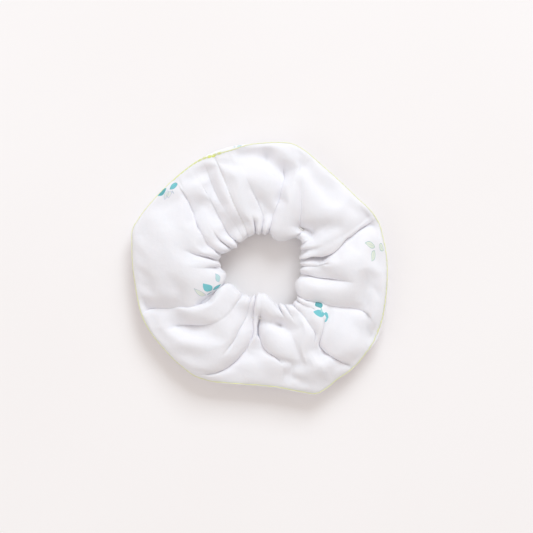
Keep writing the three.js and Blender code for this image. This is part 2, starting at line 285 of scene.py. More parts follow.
def surface(degrees, s_row, front, state, k):
    """The casing between crease k and the next one, at some degrees, on one row."""
    angle, depth, tuck, dip_share, dip_width, lean, crisp = state
    q, z, nr, nz = on_section(s_row)
    n = len(angle)
    inner, outer = round_curve(HOLE, degrees), round_curve(RIM, degrees)
    r = inner + (outer - inner) * q
    near = np.radians((degrees[:, None] - angle[None, :] + 180) % 360 - 180) * r[:, None]
    nxt = (k + 1) % n
    low = np.abs(near[:, k])
    high = np.abs(near[:, nxt])
    gap = low + high

    def shoulder(distance, width):
        """Falls from 1 in the crease to 0 at some width, with a round top."""
        x = np.clip(distance / np.minimum(width, 0.5 * gap + 1e-6), 0, 1)
        return 1 - np.sqrt(np.clip(1 - (1 - x)**2, 0, 1))
    sharp = np.maximum(crisp[k] * depth[k] * shoulder(low, 1.6 * tuck[k] + 1.6),
                       crisp[nxt] * depth[nxt] * shoulder(high, 1.6 * tuck[nxt] + 1.6))
    soft = (dip_share * depth * np.exp(-(near / dip_width)**2)).sum(1)
    height = -sharp - 0.8 * soft * smooth(q / 0.25)
    # the cloth on one side hangs over the crease
    shift = np.zeros_like(r)
    for i in (k, nxt):
        if lean[i]:
            side = np.sign(lean[i])
            over = bump(side * near[:, i] / 2.2) * np.minimum(depth[i] / 3.0, 1)
            shift -= lean[i] * over * smooth((gap - 1.5) / 4)
            height += 0.22 * abs(lean[i]) * over
    x, y = r * np.cos(np.radians(degrees)), r * np.sin(np.radians(degrees))
    if front:
        for a, b, width, deep in HOLLOWS:
            a, b = np.array(a, float), np.array(b, float)
            d = b - a
            t = np.clip(((x - a[0]) * d[0] + (y - a[1]) * d[1]) / (d @ d), 0, 1)
            away = np.hypot(x - a[0] - t * d[0], y - a[1] - t * d[1])
            height -= deep * np.exp(-(away / width)**2)
    wave = (0.5 * np.sin(0.11 * x + 0.9) * np.sin(0.09 * y + 2.1) + 0.35 * np.sin(0.21 * x - 0.17 * y + 4.0)
            + 0.25 * np.sin(0.31 * y + 0.13 * x + 1.0))
    rim_fade = smooth((1 - q) / 0.08)
    height = height * (0.35 + 0.65 * rim_fade) + wave * rim_fade * (1.0 if front else 0.25)
    if front:
        height = kept_apart(height, q, z)
    r2 = r + nr * height
    z2 = z + nz * height
    turn = degrees + np.degrees(shift * rim_fade / r)
    return np.stack([r2 * np.cos(np.radians(turn)), r2 * np.sin(np.radians(turn)), np.maximum(z2, 0.35)], -1)


def seam_slide(degrees):
    """How far the outer seam lies over on the front, in mm."""
    return round_curve([(0, 1.6), (30, 0.8), (60, 0.5), (78, 0.7), (95, 1.3), (105, 3.0), (113, 2.5),
                        (122, 1.1), (134, 0.5), (150, 0.4), (180, 0.5), (215, 0.8), (235, 1.0), (252, 1.6),
                        (285, 1.8), (300, 1.3), (315, 1.3), (330, 2.3), (342, 2.2)], degrees)


BACK = back_creases()


def cloth_grid():
    """Every vertex of the casing in mm, as [column, row]. Column 0 is at the cross seam."""
    at = [c["line"][0][1] for c in CREASES]
    first = at.index(SEAM_DEG)
    middle = on_section(FOLD_AT * 0.62)[0]
    angle = crease_state(CREASES, float(middle))[0]
    inner = crease_state(CREASES, 0.05)[0]
    gap = 0.5 * ((np.roll(angle, -1) - angle) % 360) + 0.5 * ((np.roll(inner, -1) - inner) % 360)
    weight = gap + 5.0
    counts = np.maximum(4, np.round(weight / weight.sum() * COLUMNS)).astype(int)
    while counts.sum() != COLUMNS:
        counts[np.argmax(counts)] += np.sign(COLUMNS - counts.sum())
    share = [np.arange(c) / c for c in counts]
    rows = []
    for j, s in enumerate(ROW_AT):
        rows.append(np.roll(ring(s, j <= HALF_ROWS, share), -counts[:first].sum(), axis=0))
    order = [(first + k) % len(CREASES) for k in range(len(CREASES))]
    columns = np.concatenate([[0], np.cumsum(counts[order])[:-1]])
    return np.stack(rows, 1), order, columns


GRID, CREASE_ORDER, CREASE_COLUMNS = cloth_grid()


def closed_faces(columns, rows):
    """Faces of a grid that is closed both ways round."""
    i = np.arange(columns)[:, None]
    j = np.arange(rows)[None, :]
    i2, j2 = (i + 1) % columns, (j + 1) % rows
    return np.stack([i * rows + j, i2 * rows + j, i2 * rows + j2, i * rows + j2], -1).reshape(-1, 4)


def new_mesh(name, points, faces):
    mesh = bpy.data.meshes.new(name)
    points = np.asarray(points, float).reshape(-1, 3).tolist()
    mesh.from_pydata(points, [], [list(map(int, f)) for f in faces])
    mesh.update()
    obj = bpy.data.objects.new(name, mesh)
    bpy.context.scene.collection.objects.link(obj)
    mesh.polygons.foreach_set("use_smooth", [True] * len(mesh.polygons))
    return obj


def pin_weights():
    """How firmly each point holds its place while the cloth settles: the seam and the crease bottoms most."""
    weight = np.full((COLUMNS, ROWS), 0.06)
    for step, value in enumerate((1.0, 0.8, 0.6, 0.45, 0.35, 0.28, 0.2, 0.14, 0.1)):
        weight[:, step] = weight[:, -step] = value
    front, fold = slice(0, HALF_ROWS + 1), slice(HALF_ROWS, HALF_ROWS + 8)
    for column, crease in zip(CREASE_COLUMNS, CREASE_ORDER):
        depth = np.array([crease_state([CREASES[crease]], across_ring(s))[1][0] for s in ROW_AT[front]])
        held = 0.75 * smooth(depth / 2.5)
        for beside, share in ((0, 1.0), (1, 0.5), (-1, 0.5), (2, 0.25), (-2, 0.25)):
            line = weight[(column + beside) % COLUMNS]
            line[front] = np.maximum(line[front], share * held)
            line[fold] = np.maximum(line[fold], 0.5 * share)
    return weight


def settle(grid):
    """Lets the cloth find its own shape between the creases, at ten times its size, then scales it back."""
    scale = 10 * MM
    body = new_mesh("settling_cloth", grid * scale, closed_faces(COLUMNS, ROWS))
    group = body.vertex_groups.new(name="held")
    weight = np.round(pin_weights(), 2).ravel()
    for value in np.unique(weight):
        group.add(np.nonzero(weight == value)[0].tolist(), float(value), "REPLACE")
    cloth = body.modifiers.new("cloth", "CLOTH")
    c = cloth.settings
    c.quality = 5
    c.mass = 0.3
    c.air_damping = 3.0
    c.tension_stiffness = c.compression_stiffness = 12.0
    c.shear_stiffness = 6.0
    c.tension_damping = c.compression_damping = c.shear_damping = 5.0
    c.bending_stiffness = BEND
    c.bending_damping = 0.5
    c.shrink_min = -GROW
    c.vertex_group_mass = "held"
    c.pin_stiffness = 1.0
    c.use_pressure = PRESSURE > 0
    c.uniform_pressure_force = PRESSURE
    c.effector_weights.gravity = 0.0
    cloth.collision_settings.use_collision = False
    cloth.collision_settings.use_self_collision = False
    scene = bpy.context.scene
    cloth.point_cache.frame_start, cloth.point_cache.frame_end = 1, SETTLE_FRAMES
    scene.frame_start, scene.frame_end = 1, SETTLE_FRAMES
    for number in range(1, SETTLE_FRAMES + 1):
        scene.frame_set(number)
    found = body.evaluated_get(bpy.context.evaluated_depsgraph_get())
    flat = np.zeros(3 * COLUMNS * ROWS, np.float32)
    found.data.vertices.foreach_get("co", flat)
    settled = flat.reshape(COLUMNS, ROWS, 3).astype(float) / scale
    bpy.data.objects.remove(body)
    scene.frame_set(1)
    move = settled - grid
    # near the seam the cloth is tight, so the small wrinkles there are evened out
    share = smooth((on_section(ROW_AT)[0] - 0.6) / 0.25)[None, :, None]
    even = move
    for _ in range(6):
        even = 0.25 * np.roll(even, 1, 0) + 0.5 * even + 0.25 * np.roll(even, -1, 0)
    move = move + share * (even - move)
    size = np.linalg.norm(move, axis=2, keepdims=True)
    settled = grid + move * np.minimum(1, MOST_MOVED / np.maximum(size, 1e-9))
    settled[..., 2] = np.maximum(settled[..., 2], 0.3)
    return settled


GRID = settle(GRID)
# The back lies on what the ring rests on
GRID[..., 2] -= (GRID[..., 2].min() - 0.4) * np.clip((11 - GRID[..., 2]) / 7, 0, 1)


def refine(grid, axis):
    """One round of smooth subdivision of a closed line of points."""
    ahead, behind = np.roll(grid, -1, axis), np.roll(grid, 1, axis)
    pair = np.stack([(behind + 6 * grid + ahead) / 8, (grid + ahead) / 2], axis + 1)
    shape = list(grid.shape)
    shape[axis] *= 2
    return pair.reshape(shape)


def grid_normals(grid):
    """Outward normals of the cloth's points."""
    across = np.roll(grid, -1, 1) - np.roll(grid, 1, 1)
    around = np.roll(grid, -1, 0) - np.roll(grid, 1, 0)
    n = np.cross(around, across)
    return n / (np.linalg.norm(n, axis=2, keepdims=True) + 1e-12)


FINE = refine(refine(GRID, 0), 1)
NORMAL = grid_normals(FINE)
FINE_COLUMNS, FINE_ROWS = 2 * COLUMNS, 2 * ROWS
ROW_MM = np.append(ROW_AT, PERIMETER)
ROW_MM = np.interp(np.arange(FINE_ROWS + 1) / 2, np.arange(ROWS + 1), ROW_MM)


def on_cloth(column, row, lift=0.0):
    """Points of the finished cloth at fractional fine columns and rows, lifted off its surface by some mm."""
    column, row, lift = np.broadcast_arrays(*(np.asarray(v, float) for v in (column, row, lift)))
    i, j = np.floor(column).astype(int), np.floor(row).astype(int)
    f, g = (column - i)[..., None], (row - j)[..., None]

    def sample(grid):
        def at(a, b):
            return grid[a % FINE_COLUMNS, b % FINE_ROWS]
        return ((1 - f) * (1 - g) * at(i, j) + f * (1 - g) * at(i + 1, j)
                + (1 - f) * g * at(i, j + 1) + f * g * at(i + 1, j + 1))

    return sample(FINE) + lift[..., None] * sample(NORMAL)


def tube(path, radius, sides=6, closed=False):
    """A round thread along a path, in mm. radius may change along it."""
    path = np.asarray(path, float)
    n = len(path)
    radius = np.broadcast_to(radius, n)
    ahead = np.roll(path, -1, 0) - np.roll(path, 1, 0) if closed else np.gradient(path, axis=0)
    ahead = ahead / (np.linalg.norm(ahead, axis=1, keepdims=True) + 1e-12)
    up = np.tile([0.0, 0.0, 1.0], (n, 1))
    side = np.cross(ahead, up)
    flat = np.linalg.norm(side, axis=1) < 0.2
    side[flat] = np.cross(ahead[flat], [1.0, 0.0, 0.0])
    side /= np.linalg.norm(side, axis=1, keepdims=True)
    up = np.cross(side, ahead)
    a = 2 * np.pi * np.arange(sides) / sides
    circle = np.cos(a)[None, :, None] * side[:, None] + np.sin(a)[None, :, None] * up[:, None]
    points = (path[:, None] + radius[:, None, None] * circle).reshape(-1, 3)
    if closed:
        return points, closed_faces(n, sides)
    faces = closed_faces(n, sides)[:(n - 1) * sides].tolist()
    for start, end, turned in ((0, path[0], True), ((n - 1) * sides, path[-1], False)):
        hub = len(points)
        points = np.concatenate([points, [end]])
        for m in range(sides):
            pair = (start + m, start + (m + 1) % sides)
            faces.append([hub, pair[0], pair[1]] if turned else [hub, pair[1], pair[0]])
    return points, faces


def piece(name, parts):
    """One object from several (points in mm, faces)."""
    points, faces, start = [], [], 0
    for own, own_faces in parts:
        own = own.reshape(-1, 3)
        points.append(own)
        faces += [[v + start for v in face] for face in own_faces]
        start += len(own)
    return new_mesh(name, np.concatenate(points) * MM, faces)


# The casing: the outer face of the cloth, its inner face, and the turned-in seam allowance along the rim
INNER = (FINE - CLOTH_THICK * NORMAL)[::4, ::2]


def allowance():
    """The turned-in edges of both plies: a flat strip in from the seam, half way between front and back."""
    profile = [(0.5, 0.4), (1.7, 0.42), (3.2, 0.42), (5.0, 0.4), (5.3, 0.0),
               (5.0, -0.4), (3.2, -0.42), (1.7, -0.42), (0.5, -0.4)]
    columns = np.arange(0, FINE_COLUMNS, 4)
    points = np.zeros((len(columns), len(profile), 3))
    rows = np.arange(20)
    for m, (inward, rise) in enumerate(profile):
        front = on_cloth(columns, np.interp(inward, ROW_MM[rows], rows))
        back = on_cloth(columns, np.interp(inward, PERIMETER - ROW_MM[-1 - rows], -rows))
        room = 0.5 * np.linalg.norm(front - back, axis=1)
        points[:, m] = 0.5 * (front + back)
        points[:, m, 2] += rise * np.clip((room - 0.3) / 1.2, 0.2, 1)
    return points


ALLOWANCE = allowance()
casing = piece("printed_cloth_casing", [
    (FINE, closed_faces(FINE_COLUMNS, FINE_ROWS)),
    (INNER, closed_faces(COLUMNS // 2, ROWS)[:, ::-1]),
    (ALLOWANCE, closed_faces(ALLOWANCE.shape[0], ALLOWANCE.shape[1])),
])


def lay_out(obj):
    """UVs of the casing: mm along the strip and across it, so that weave and print follow the cloth."""
    mesh = obj.data
    outer = FINE_COLUMNS * FINE_ROWS
    inner = COLUMNS // 2 * ROWS
    u_step = STRIP_LENGTH / FINE_COLUMNS
    loops = np.zeros(len(mesh.loops), np.int64)
    mesh.loops.foreach_get("vertex_index", loops)
    loops = loops.reshape(-1, 4)
    uv = np.zeros((len(loops), 4, 2))

    def unwrapped(number, total):
        """Numbers of a face's corners, with the last face before the join running on past the end."""
        return np.where((number == 0) & (number.max(1, keepdims=True) == total - 1), total, number)

    for first, size, rows, step, row_step in ((0, outer, FINE_ROWS, 1, 1), (outer, inner, ROWS, 4, 2)):
        own = (loops[:, 0] >= first) & (loops[:, 0] < first + size)
        v = loops[own] - first
        uv[own, :, 0] = unwrapped(v // rows, size // rows) * step * u_step
        uv[own, :, 1] = np.interp(unwrapped(v % rows, rows) * row_step, np.arange(FINE_ROWS + 1), ROW_MM)
    own = loops[:, 0] >= outer + inner
    v = loops[own] - outer - inner
    columns, profile = ALLOWANCE.shape[:2]
    uv[own, :, 0] = unwrapped(v // profile, columns) * 4 * u_step
    uv[own, :, 1] = PERIMETER + 4 + v % profile
    layer = mesh.uv_layers.new(name="strip_mm")
    layer.data.foreach_set("uv", uv.astype(np.float32).ravel())


lay_out(casing)


def follow(obj, node_name):
    """Bakes the piece's placement into its mesh and hides the imported part of the node that it stands for.
    """
    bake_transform(obj)
    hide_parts(node_name)


def material(name):
    mat = bpy.data.materials.new(name)
    mat.use_nodes = True
    tree = mat.node_tree
    return mat, tree, tree.nodes["Principled BSDF"]


def node(tree, kind, **values):
    """A node with its properties and inputs set. An input given as a socket is linked."""
    n = tree.nodes.new("ShaderNode" + kind)
    for key, value in values.items():
        if key.startswith("in_"):
            socket = n.inputs[int(key[3:]) if key[3:].isdigit() else key[3:].replace("_", " ")]
            if isinstance(value, bpy.types.NodeSocket):
                tree.links.new(value, socket)
            else:
                socket.default_value = value
        else:
            setattr(n, key, value)
    return n


def maths(tree, operation, *values):
    """The result of a Math node."""
    n = tree.nodes.new("ShaderNodeMath")
    n.operation = operation
    for socket, value in zip(n.inputs, values):
        if isinstance(value, bpy.types.NodeSocket):
            tree.links.new(value, socket)
        else:
            socket.default_value = value
    return n.outputs[0]


def blended(tree, factor, a, b):
    """A colour mix of a and b."""
    n = tree.nodes.new("ShaderNodeMix")
    n.data_type = "RGBA"
    for socket, value in ((n.inputs[0], factor), (n.inputs[6], a), (n.inputs[7], b)):
        if isinstance(value, bpy.types.NodeSocket):
            tree.links.new(value, socket)
        else:
            socket.default_value = value
    return n.outputs[2]


def srgb(*levels):
    """A linear colour from screen levels of 0 to 255."""
    shares = [level / 255 for level in levels]
    return tuple(c / 12.92 if c <= 0.04045 else ((c + 0.055) / 1.055)**2.4 for c in shares) + (1.0,)


# The print: leaves in small sprigs. Each leaf goes from its base to its tip.
TEAL = srgb(118, 200, 208)
DEEP_TEAL = srgb(92, 170, 176)
AQUA = srgb(160, 216, 214)
PALE_GREEN = srgb(212, 228, 190)
GREY_BLUE = srgb(140, 170, 192)
VIOLET = srgb(146, 158, 214)
LEAF_GREEN = srgb(92, 168, 160)
# Sprigs that show from the front: where each is on the ring, its ply (1 front, -1 back), then its leaves as
# (base x, y), (tip x, y), width, fill, outline, how strongly it is filled. In mm, as they lie on the ring.
FRONT_SPRIGS = [
    ((-27.5, -10.5), 1, [
        ((-25.6, -12.7), (-30.4, -8.8), 4.4, TEAL, TEAL, 1.0),
        ((-21.8, -8.3), (-23.6, -2.9), 2.8, AQUA, GREY_BLUE, 0.7),
        ((-25.2, -12.9), (-20.1, -9.4), 2.2, TEAL, DEEP_TEAL, 1.0),
        ((-29.1, -15.5), (-34.8, -12.1), 2.6, PALE_GREEN, GREY_BLUE, 0.5),
        ((-29.1, -15.8), (-25.2, -14.2), 0.9, DEEP_TEAL, DEEP_TEAL, 0.8)]),
    ((-48.0, 39.0), 1, [
        ((-48.3, 40.5), (-43.6, 44.9), 2.8, TEAL, DEEP_TEAL, 1.0),
        ((-50.0, 41.1), (-55.0, 37.6), 3.6, DEEP_TEAL, TEAL, 1.0),
        ((-49.2, 39.9), (-51.0, 35.1), 2.2, PALE_GREEN, VIOLET, 0.3),
        ((-48.3, 39.7), (-48.8, 36.0), 2.8, PALE_GREEN, VIOLET, 0.3),
        ((-47.1, 40.0), (-45.7, 38.0), 0.7, GREY_BLUE, GREY_BLUE, 0.5)]),
    ((58.0, 9.0), 1, [
        ((59.8, 11.0), (54.5, 13.4), 3.2, PALE_GREEN, LEAF_GREEN, 0.55),
        ((61.7, 12.5), (64.3, 9.2), 2.8, PALE_GREEN, LEAF_GREEN, 0.55),
        ((59.7, 9.2), (57.9, 3.0), 2.7, PALE_GREEN, LEAF_GREEN, 0.55)]),
    ((31.0, -24.0), 1, [
        ((32.8, -24.8), (27.2, -23.2), 4.0, TEAL, TEAL, 1.0),
        ((31.4, -21.4), (30.4, -15.8), 3.3, DEEP_TEAL, DEEP_TEAL, 1.0),
        ((31.4, -24.0), (31.4, -20.8), 0.8, AQUA, AQUA, 1.0),
        ((32.4, -24.2), (35.4, -25.6), 1.9, TEAL, TEAL, 1.0),
        ((35.2, -25.2), (33.6, -27.4), 1.4, TEAL, TEAL, 0.9)]),
    ((-13.4, 63.2), -1, [
        ((-13.6, 63.6), (-15.6, 63.2), 1.0, AQUA, GREY_BLUE, 0.5),
        ((-13.2, 63.6), (-11.2, 63.9), 1.3, AQUA, GREY_BLUE, 0.5)]),
]
# Sprigs elsewhere on the strip: (share of its length, share of the way across it, turn in degrees)
OTHER_SPRIGS = [(0.06, 0.62, 20), (0.13, 0.86, 130), (0.21, 0.70, 250), (0.30, 0.55, 75), (0.36, 0.82, 310),
                (0.45, 0.66, 160), (0.52, 0.90, 35), (0.60, 0.74, 220), (0.68, 0.58, 100), (0.75, 0.84, 280),
                (0.84, 0.68, 0), (0.92, 0.88, 190)]


def strip_place(x, y, ply):
    """Where a point seen on the ring lies on the strip, and the matrix from ring mm to strip mm there."""
    rows = np.arange(1, FINE_ROWS // 2) if ply > 0 else np.arange(FINE_ROWS - 1, FINE_ROWS - 8, -1)
    away = np.hypot(FINE[:, rows, 0] - x, FINE[:, rows, 1] - y)
    # of two places that are about as near, the higher one is seen
    away = away - 0.05 * FINE[:, rows, 2] * (away < 1.5)
    i, j = np.unravel_index(np.argmin(away), away.shape)
    row = rows[j]
    u_step = STRIP_LENGTH / FINE_COLUMNS
    reach = 4
    low, high = max(row - reach, 0), min(row + reach, FINE_ROWS)
    per_u = (FINE[(i + reach) % FINE_COLUMNS, row] - FINE[i - reach, row])[:2] / (2 * reach * u_step)
    per_v = (FINE[i, high % FINE_ROWS] - FINE[i, low])[:2] / (ROW_MM[high] - ROW_MM[low])
    return np.array([i * u_step, ROW_MM[row]]), np.linalg.inv(np.stack([per_u, per_v], 1))


def leaves_on_strip():
    """All the leaves of the print, in mm on the strip."""
    leaves = []
    for centre, ply, sprig in FRONT_SPRIGS:
        place, turn = strip_place(*centre, ply)
        for base, tip, width, fill, outline, strength in sprig:
            a = place + turn @ (np.array(base) - centre)
            b = place + turn @ (np.array(tip) - centre)
            size = np.linalg.norm(b - a)
            stretched = size / np.linalg.norm(np.array(tip) - base)
            spread = abs(np.linalg.det(turn)) / stretched
            leaves.append((0.5 * (a + b), (b - a) / size, size, width * spread, fill, outline, strength))
    for share_u, share_v, turned in OTHER_SPRIGS:
        middle = np.array([share_u * STRIP_LENGTH, share_v * PERIMETER])
        for angle, size, width, fill, outline, strength in (
                (20, 6.6, 4.0, TEAL, DEEP_TEAL, 1.0), (150, 6.2, 3.6, AQUA, DEEP_TEAL, 0.8),
                (265, 5.8, 2.8, PALE_GREEN, GREY_BLUE, 0.5)):
            a = math.radians(turned + angle)
            along = np.array([math.cos(a), math.sin(a)])
            leaves.append((middle + along * 0.6 * size, along, size, width, fill, outline, strength))
    return leaves


def leaf(tree, uv, colour, centre, along, size, width, fill, outline, strength):
    """Paints one leaf over a colour: a pointed oval with a darker edge and midrib."""
    local = node(tree, "Mapping", vector_type="TEXTURE", in_Vector=uv,
                 in_Location=(centre[0], centre[1], 0), in_Rotation=(0, 0, math.atan2(along[1], along[0])),
                 in_Scale=(size / 2, width / 2, 1)).outputs[0]
    part = node(tree, "SeparateXYZ", in_0=local)
    x, y = part.outputs[0], part.outputs[1]
    bulge = maths(tree, "MULTIPLY", maths(tree, "MULTIPLY_ADD", maths(tree, "MULTIPLY", x, x), -1.0, 1.0),
                  maths(tree, "MAXIMUM", maths(tree, "MULTIPLY_ADD", x, -0.28, 1.0), 0.1))
    inside = maths(tree, "SUBTRACT", bulge, maths(tree, "ABSOLUTE", y))
    mask = node(tree, "MapRange", in_0=inside, in_1=0.0, in_2=0.10).outputs[0]
    edge = node(tree, "MapRange", in_0=inside, in_1=0.10, in_2=0.30, in_3=1.0, in_4=0.0).outputs[0]
    rib = node(tree, "MapRange", in_0=maths(tree, "ABSOLUTE", y), in_1=0.03, in_2=0.12, in_3=0.55, in_4=0.0)
    paint = blended(tree, maths(tree, "MAXIMUM", edge, rib.outputs[0]), fill, outline)
    solid = maths(tree, "MAXIMUM", maths(tree, "MULTIPLY", edge, 0.9), strength)
    return blended(tree, maths(tree, "MULTIPLY", mask, solid), colour, paint)


def cotton():
    """White cotton, plain woven, with the printed sprigs."""
    mat, tree, shader = material("printed_cotton")
    uv = node(tree, "UVMap", uv_map="strip_mm").outputs[0]
    place = node(tree, "TexCoord").outputs["Object"]
    blotch = node(tree, "TexNoise", in_Vector=place, in_Scale=45.0, in_Detail=3.0).outputs[0]
    colour = blended(tree, blotch, srgb(241, 240, 245), srgb(246, 245, 249))
    for values in leaves_on_strip():
        colour = leaf(tree, uv, colour, *values)
    long_way = node(tree, "Mapping", in_Vector=uv, in_Scale=(0.35, 4.0, 1)).outputs[0]
    slub = node(tree, "TexNoise", in_Vector=long_way, in_Scale=1.0, in_Detail=2.0).outputs[0]
    colour = blended(tree, maths(tree, "MULTIPLY", slub, 0.10), colour, srgb(222, 219, 226))
    tree.links.new(colour, shader.inputs["Base Color"])
    part = node(tree, "SeparateXYZ", in_0=uv)
    pitch = 2 * math.pi / 0.62
    warp = maths(tree, "SINE", maths(tree, "MULTIPLY", part.outputs[0], pitch))
    weft = maths(tree, "SINE", maths(tree, "MULTIPLY", part.outputs[1], pitch))
    weave = maths(tree, "MULTIPLY", warp, weft)
    crumple = node(tree, "TexNoise", in_Vector=place, in_Scale=170.0, in_Detail=4.0, in_Roughness=0.55)
    fine = node(tree, "Bump", in_Strength=0.35, in_Distance=0.00006, in_Height=weave)
    soft = node(tree, "Bump", in_Strength=0.5, in_Distance=0.0006, in_Height=crumple.outputs[0],
                in_Normal=fine.outputs[0])
    tree.links.new(soft.outputs[0], shader.inputs["Normal"])
    rough = node(tree, "MapRange", in_0=blotch, in_3=0.82, in_4=0.94).outputs[0]
    tree.links.new(rough, shader.inputs["Roughness"])
    shader.inputs["Specular IOR Level"].default_value = 0.12
    shader.inputs["Subsurface Weight"].default_value = 0.35
    shader.inputs["Subsurface Radius"].default_value = (1.0, 0.9, 0.85)
    shader.inputs["Subsurface Scale"].default_value = 0.0015
    shader.inputs["Sheen Weight"].default_value = 0.06
    shader.inputs["Sheen Roughness"].default_value = 0.5
    return mat


def yarn(name, colour, shade, pitch=900.0):
    """Spun thread: fine diagonal twist, with painted shade in the groove between the plies."""
    mat, tree, shader = material(name)
    place = node(tree, "TexCoord").outputs["Object"]
    twist = node(tree, "TexWave", in_Vector=place, in_Scale=pitch, in_Distortion=1.5,
                 bands_direction="DIAGONAL").outputs[1]
    fuzz = node(tree, "TexNoise", in_Vector=place, in_Scale=2500.0, in_Detail=2.0).outputs[0]
    # painted shade: the twist's bands blend towards the thread's shaded colour, darkening the groove between
    # the plies
    mixed = blended(tree, maths(tree, "MULTIPLY", twist, 0.5), colour, shade)
    mixed = blended(tree, maths(tree, "MULTIPLY", fuzz, 0.25), mixed, shade)
    tree.links.new(mixed, shader.inputs["Base Color"])
    bump = node(tree, "Bump", in_Strength=0.5, in_Distance=0.0001, in_Height=twist)
    tree.links.new(bump.outputs[0], shader.inputs["Normal"])
    rough = node(tree, "MapRange", in_0=fuzz, in_3=0.5, in_4=0.75).outputs[0]
    tree.links.new(rough, shader.inputs["Roughness"])
    shader.inputs["Sheen Weight"].default_value = 0.2
    return mat


casing.data.materials.append(cotton())
follow(casing, "fabric_strip")

LIME = yarn("lime_overlock_thread", srgb(242, 246, 188), srgb(231, 237, 160))
BRIGHT_LIME = yarn("lime_sewing_thread", srgb(238, 246, 132), srgb(224, 234, 104))
WHITE = yarn("white_sewing_thread", srgb(244, 243, 241), srgb(214, 212, 210))


def rim_columns(start_deg, end_deg):
    """Fine columns whose rim lies between two angles, going anticlockwise."""
    angle = np.degrees(np.arctan2(FINE[:, 0, 1], FINE[:, 0, 0])) % 360
    inside = ((angle - start_deg) % 360) <= ((end_deg - start_deg) % 360)
    columns = np.nonzero(inside)[0]
    # column 0 is at the cross seam, so a span across it is put back in order
    jump = np.nonzero(np.diff(columns) > 1)[0]
    if len(jump):
        columns = np.concatenate([columns[jump[0] + 1:] - FINE_COLUMNS, columns[:jump[0] + 1]])
    return columns


OVERLOCK_STITCHES = 179
LOOPER_STITCHES = 90


def needle_line():
    """The overlock's needle thread: a fine line of stitches between the two lips, all round the rim."""
    n = 3 * FINE_COLUMNS // 2
    share = np.arange(n) / n
    phase = np.linspace(0, 2 * np.pi * OVERLOCK_STITCHES, n)
    path = on_cloth(share * FINE_COLUMNS, 0.32 * np.sin(phase), 0.12 + 0.10 * np.cos(2 * phase))
    return tube(path, 0.17 + 0.04 * np.cos(phase), closed=True)


def looper(side):
    """A looper thread: a zigzag over one face of the allowance, round its raw edge."""
    columns = ALLOWANCE.shape[0]
    n = 3 * columns
    t = np.arange(n) / 3
    i = np.floor(t).astype(int)
    f = (t - i)[:, None]

    def line(m):
        return (1 - f) * ALLOWANCE[i % columns, m] + f * ALLOWANCE[(i + 1) % columns, m]

    swing = 0.5 + 0.5 * np.sin(2 * np.pi * np.arange(n) * LOOPER_STITCHES / n)
    near, edge = (line(1), line(3)) if side > 0 else (line(7), line(5))
    path = edge + (near - edge) * swing[:, None]
    path[:, 2] += side * 0.12
    return tube(path, 0.15, closed=True)


def running_stitches(path, radius, stitch, gap=0.6):
    """Separate stitches along a path on the cloth, thinner at their ends, where they go into it."""
    at = np.concatenate([[0], np.cumsum(np.linalg.norm(np.diff(path, axis=0), axis=1))])
    sunk = np.abs(np.linspace(-1, 1, 9))**3
    parts = []
    start = 0.0
    while start + stitch < at[-1]:
        s = np.linspace(start, start + stitch, 9)
        points = np.stack([np.interp(s, at, path[:, m]) for m in range(3)], -1)
        points += 0.02 * (points.mean(0) - points)
        parts.append(tube(points, radius * (1 - 0.55 * sunk)))
        start += stitch + gap
    return parts


def along_rim(start_deg, end_deg, row, lift):
    """A path beside the rim, on one row of the cloth."""
    columns = rim_columns(start_deg, end_deg)
    return on_cloth(np.linspace(columns[0], columns[-1], 8 * len(columns)), row, lift)


def along_cross_seam(first_row, last_row):
    return on_cloth(0, np.linspace(first_row, last_row, 400), 0.05)


def add_piece(name, parts, mat, node_name):
    """One piece, with its looks and the node that it stands for."""
    obj = piece(name, parts)
    obj.data.materials.append(mat)
    follow(obj, node_name)


add_piece("overlock_needle_stitches", [needle_line()], LIME, "overlock_needle_thread")
for side, name in ((1, "upper"), (-1, "lower")):
    add_piece(f"overlock_{name}_looper_stitches", [looper(side)], LIME,
              f"overlock_{name}_looper_thread")

# The turning gap's closing seam, with two short rows of stitches over its end
closing_top = (running_stitches(along_rim(109, 137, 1.5, 0.04), 0.14, 2.2)
               + running_stitches(along_rim(112.5, 117.5, 2.3, 0.10), 0.22, 1.9, 0.3)
               + running_stitches(along_rim(112.5, 117.5, 1.0, 0.10), 0.22, 1.7, 0.3))
closing_under = running_stitches(along_rim(109, 137, -1.5, 0.04), 0.14, 2.2)
add_piece("closing_seam_top_stitches", closing_top, BRIGHT_LIME, "closing_needle_thread")
add_piece("closing_seam_under_stitches", closing_under, BRIGHT_LIME, "closing_bobbin_thread")

HALF = FINE_ROWS // 2
seam_front = running_stitches(along_cross_seam(4, HALF - 2), 0.16, 1.9)
seam_back = running_stitches(along_cross_seam(HALF + 2, FINE_ROWS - 4), 0.16, 1.9)
add_piece("cross_seam_front_stitches", seam_front, WHITE, "cross_seam_needle_thread")
add_piece("cross_seam_back_stitches", seam_back, WHITE, "cross_seam_bobbin_thread")


# The elastic, in mm
ELASTIC_HEIGHT = 8.5
ELASTIC_WIDTH = 6.0
ELASTIC_THICK = 1.0
ELASTIC_OVERLAP = 12.0
USUAL_RADIUS = 25.8
LEAST_REACH = 27.0


def elastic_reach():
    """Radius of the elastic at every whole degree: 27 mm, and more where the gathers reach further out."""
    fold = FINE[:, HALF - 6:HALF + 7]
    radius = np.hypot(fold[..., 0], fold[..., 1])
    near = np.abs(fold[..., 2] - ELASTIC_HEIGHT) < 4
    radius = np.where(near, radius, 0).max(1)
    angle = np.degrees(np.arctan2(fold[:, 6, 1], fold[:, 6, 0]))
    reach = np.array([radius[np.abs((angle - d + 180) % 360 - 180) < 9].max() for d in range(360)]) + 1.2
    reach = np.maximum(reach, LEAST_REACH)
    window = np.exp(-0.5 * (np.arange(-24, 25) / 9)**2)
    return np.convolve(np.concatenate([reach[-24:], reach, reach[:24]]), window / window.sum(), "valid")


ELASTIC_RADIUS = elastic_reach()


